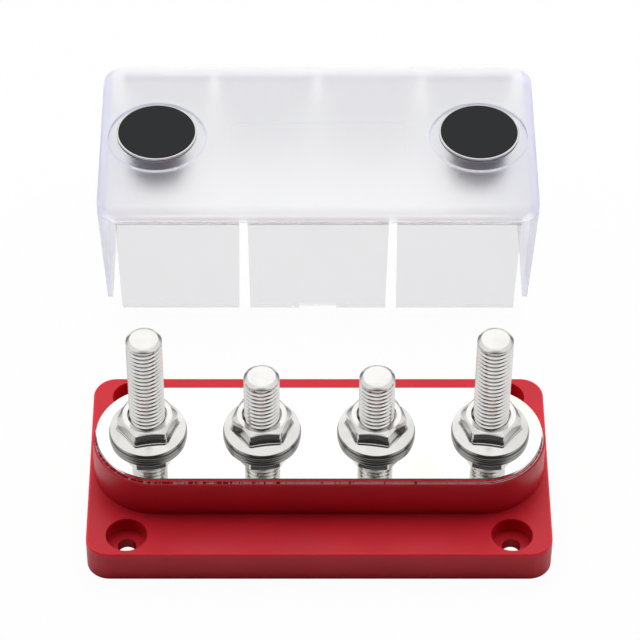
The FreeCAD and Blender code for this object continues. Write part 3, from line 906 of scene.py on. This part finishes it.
class BUSBAR_OT_knobs(bpy.types.Operator):
    """Turn the knobs, with their edges rounded, and finish their caps"""
    bl_idname = "bus_bar.knobs"
    bl_label = "Knobs"

    def execute(self, context):
        sizes = context.scene.bus_bar_knobs
        for side in SIDES:
            node = f"knob_{side}"
            low, high = corners(node)
            form = knob_form(sizes, low.z, high.z, (high.x - low.x) / 2)
            place_form(form, node)
            new_piece(f"{node}_turned", form, "knob_metal", node, node)
            dress(f"knob_cap_{side}", "black_cap")
        return {"FINISHED"}


class BUSBAR_OT_stage(bpy.types.Operator):
    """Set the floor, the pale room, the softbox and the camera"""
    bl_idname = "bus_bar.stage"
    bl_label = "Stage"

    def execute(self, context):
        studio = context.scene.bus_bar_studio
        self.make_floor(context.scene, studio)
        self.make_room(context.scene, studio)
        self.make_lamp(context.scene, studio)
        self.make_camera(context.scene, studio)
        context.scene.view_settings.view_transform = "Standard"
        return {"FINISHED"}

    def make_floor(self, scene, studio):
        """White paper that keeps the object's shadow."""
        mesh = bpy.data.meshes.new("floor")
        rim = ((-1, -1), (1, -1), (1, 1), (-1, 1))
        mesh.from_pydata(
            [(x * FLOOR_HALF, y * FLOOR_HALF, -FLOOR_DROP) for x, y in rim], [], [(0, 1, 2, 3)])
        floor = bpy.data.objects.new("floor", mesh)
        scene.collection.objects.link(floor)
        material, nodes, where = new_finish("floor_paper")
        fibre = nodes.noise(where, 400, 2.0)
        paper = nodes.blend(fibre, (0.86, 0.86, 0.86, 1), (0.88, 0.88, 0.88, 1))
        lit = nodes.add("ShaderNodeBsdfDiffuse", {"Color": paper})
        seen = nodes.add("ShaderNodeEmission", {"Color": (1, 1, 1, 1), "Strength": 1.0})
        share = self.direct_rays(nodes) * studio.paper
        surface = nodes.add("ShaderNodeMixShader", {0: share, 1: lit, 2: seen})
        nodes.add("ShaderNodeOutputMaterial", {"Surface": surface})
        mesh.materials.append(material)

    def direct_rays(self, nodes):
        """1 for rays that come from the camera, straight or through the clear cover."""
        node = nodes.tree.nodes.new("ShaderNodeLightPath")
        straight, through = [
            Term(nodes.tree, node.outputs[name])
            for name in ("Is Camera Ray", "Is Transmission Ray")]
        return straight.maths("MAXIMUM", through)

    def make_room(self, scene, studio):
        """A pale room, darker towards the camera and the floor, and plain white to the camera."""
        world = bpy.data.worlds.new("pale_room")
        world.use_nodes = True
        world.node_tree.nodes.clear()
        nodes = Nodes(world.node_tree)
        x, y, z = nodes.parts(nodes.add("ShaderNodeTexCoord", output="Generated"))
        light_path = nodes.tree.nodes.new("ShaderNodeLightPath")
        glossy = Term(nodes.tree, light_path.outputs["Is Glossy Ray"])
        dark = studio.dark + glossy * studio.gleam
        shift = glossy * FRONT_SHIFT
        level = nodes.between(y, FRONT_DARK - shift, FRONT_PALE - shift, dark, studio.room)
        level = level * nodes.between(z, *ROOM_LOW) * nodes.between(z, *ROOM_OVERHEAD)
        level = level * nodes.between(x.maths("ABSOLUTE"), *ROOM_SIDES)
        path = self.direct_rays(nodes)
        level = level * (1 - path) + path
        shade = nodes.add("ShaderNodeBackground", {"Color": (1, 1, 1, 1), "Strength": level})
        nodes.add("ShaderNodeOutputWorld", {"Surface": shade})
        scene.world = world

    def make_lamp(self, scene, studio):
        """A softbox overhead. Metal mirrors the room alone, so the lamp stays out of its shine."""
        lamp = bpy.data.lights.new("overhead", "AREA")
        lamp.shape = "RECTANGLE"
        lamp.size, lamp.size_y = LAMP_WIDTH, LAMP_DEPTH
        lamp.energy = studio.key
        holder = bpy.data.objects.new("overhead", lamp)
        holder.visible_glossy = False
        holder.location = LAMP_PLACE
        holder.rotation_euler = (LAMP_AIM - LAMP_PLACE).to_track_quat("-Z", "Y").to_euler()
        scene.collection.objects.link(holder)

    def make_camera(self, scene, studio):
        """A long lens that looks down on the object from the front."""
        lens = bpy.data.cameras.new("camera")
        lens.lens = studio.lens
        lens.shift_x = studio.shift
        lens.clip_end = CAMERA_REACH
        camera = bpy.data.objects.new("camera", lens)
        camera.location = studio.camera
        camera.rotation_euler = (math.pi / 2 - studio.elevation, 0, 0)
        scene.collection.objects.link(camera)
        scene.camera = camera


OPERATORS = (
    BUSBAR_OT_base, BUSBAR_OT_bar, BUSBAR_OT_studs, BUSBAR_OT_washers, BUSBAR_OT_nuts,
    BUSBAR_OT_cover, BUSBAR_OT_knobs, BUSBAR_OT_stage,
)


class BUSBAR_PT_panel(bpy.types.Panel):
    """The bus bar's pieces and stage"""
    bl_label = "Bus Bar"
    bl_idname = "BUSBAR_PT_panel"
    bl_space_type = "VIEW_3D"
    bl_region_type = "UI"
    bl_category = "Bus Bar"

    def draw(self, context):
        for operator in OPERATORS:
            self.layout.operator(operator.bl_idname)


GROUPS = {
    "bus_bar_studs": StudSizes,
    "bus_bar_nuts": NutSizes,
    "bus_bar_knobs": KnobSizes,
    "bus_bar_colours": Colours,
    "bus_bar_studio": Studio,
}


def register():
    for group in (*GROUPS.values(), *OPERATORS, BUSBAR_PT_panel):
        bpy.utils.register_class(group)
    for name, group in GROUPS.items():
        setattr(bpy.types.Scene, name, PointerProperty(type=group))


def unregister():
    for name in GROUPS:
        delattr(bpy.types.Scene, name)
    for group in (BUSBAR_PT_panel, *reversed(OPERATORS), *reversed(GROUPS.values())):
        bpy.utils.unregister_class(group)


def main():
    """Makes every piece and the stage."""
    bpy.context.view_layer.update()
    register()
    for operator in OPERATORS:
        family, name = operator.bl_idname.split(".")
        getattr(getattr(bpy.ops, family), name)()


if __name__ == "__main__":
    main()
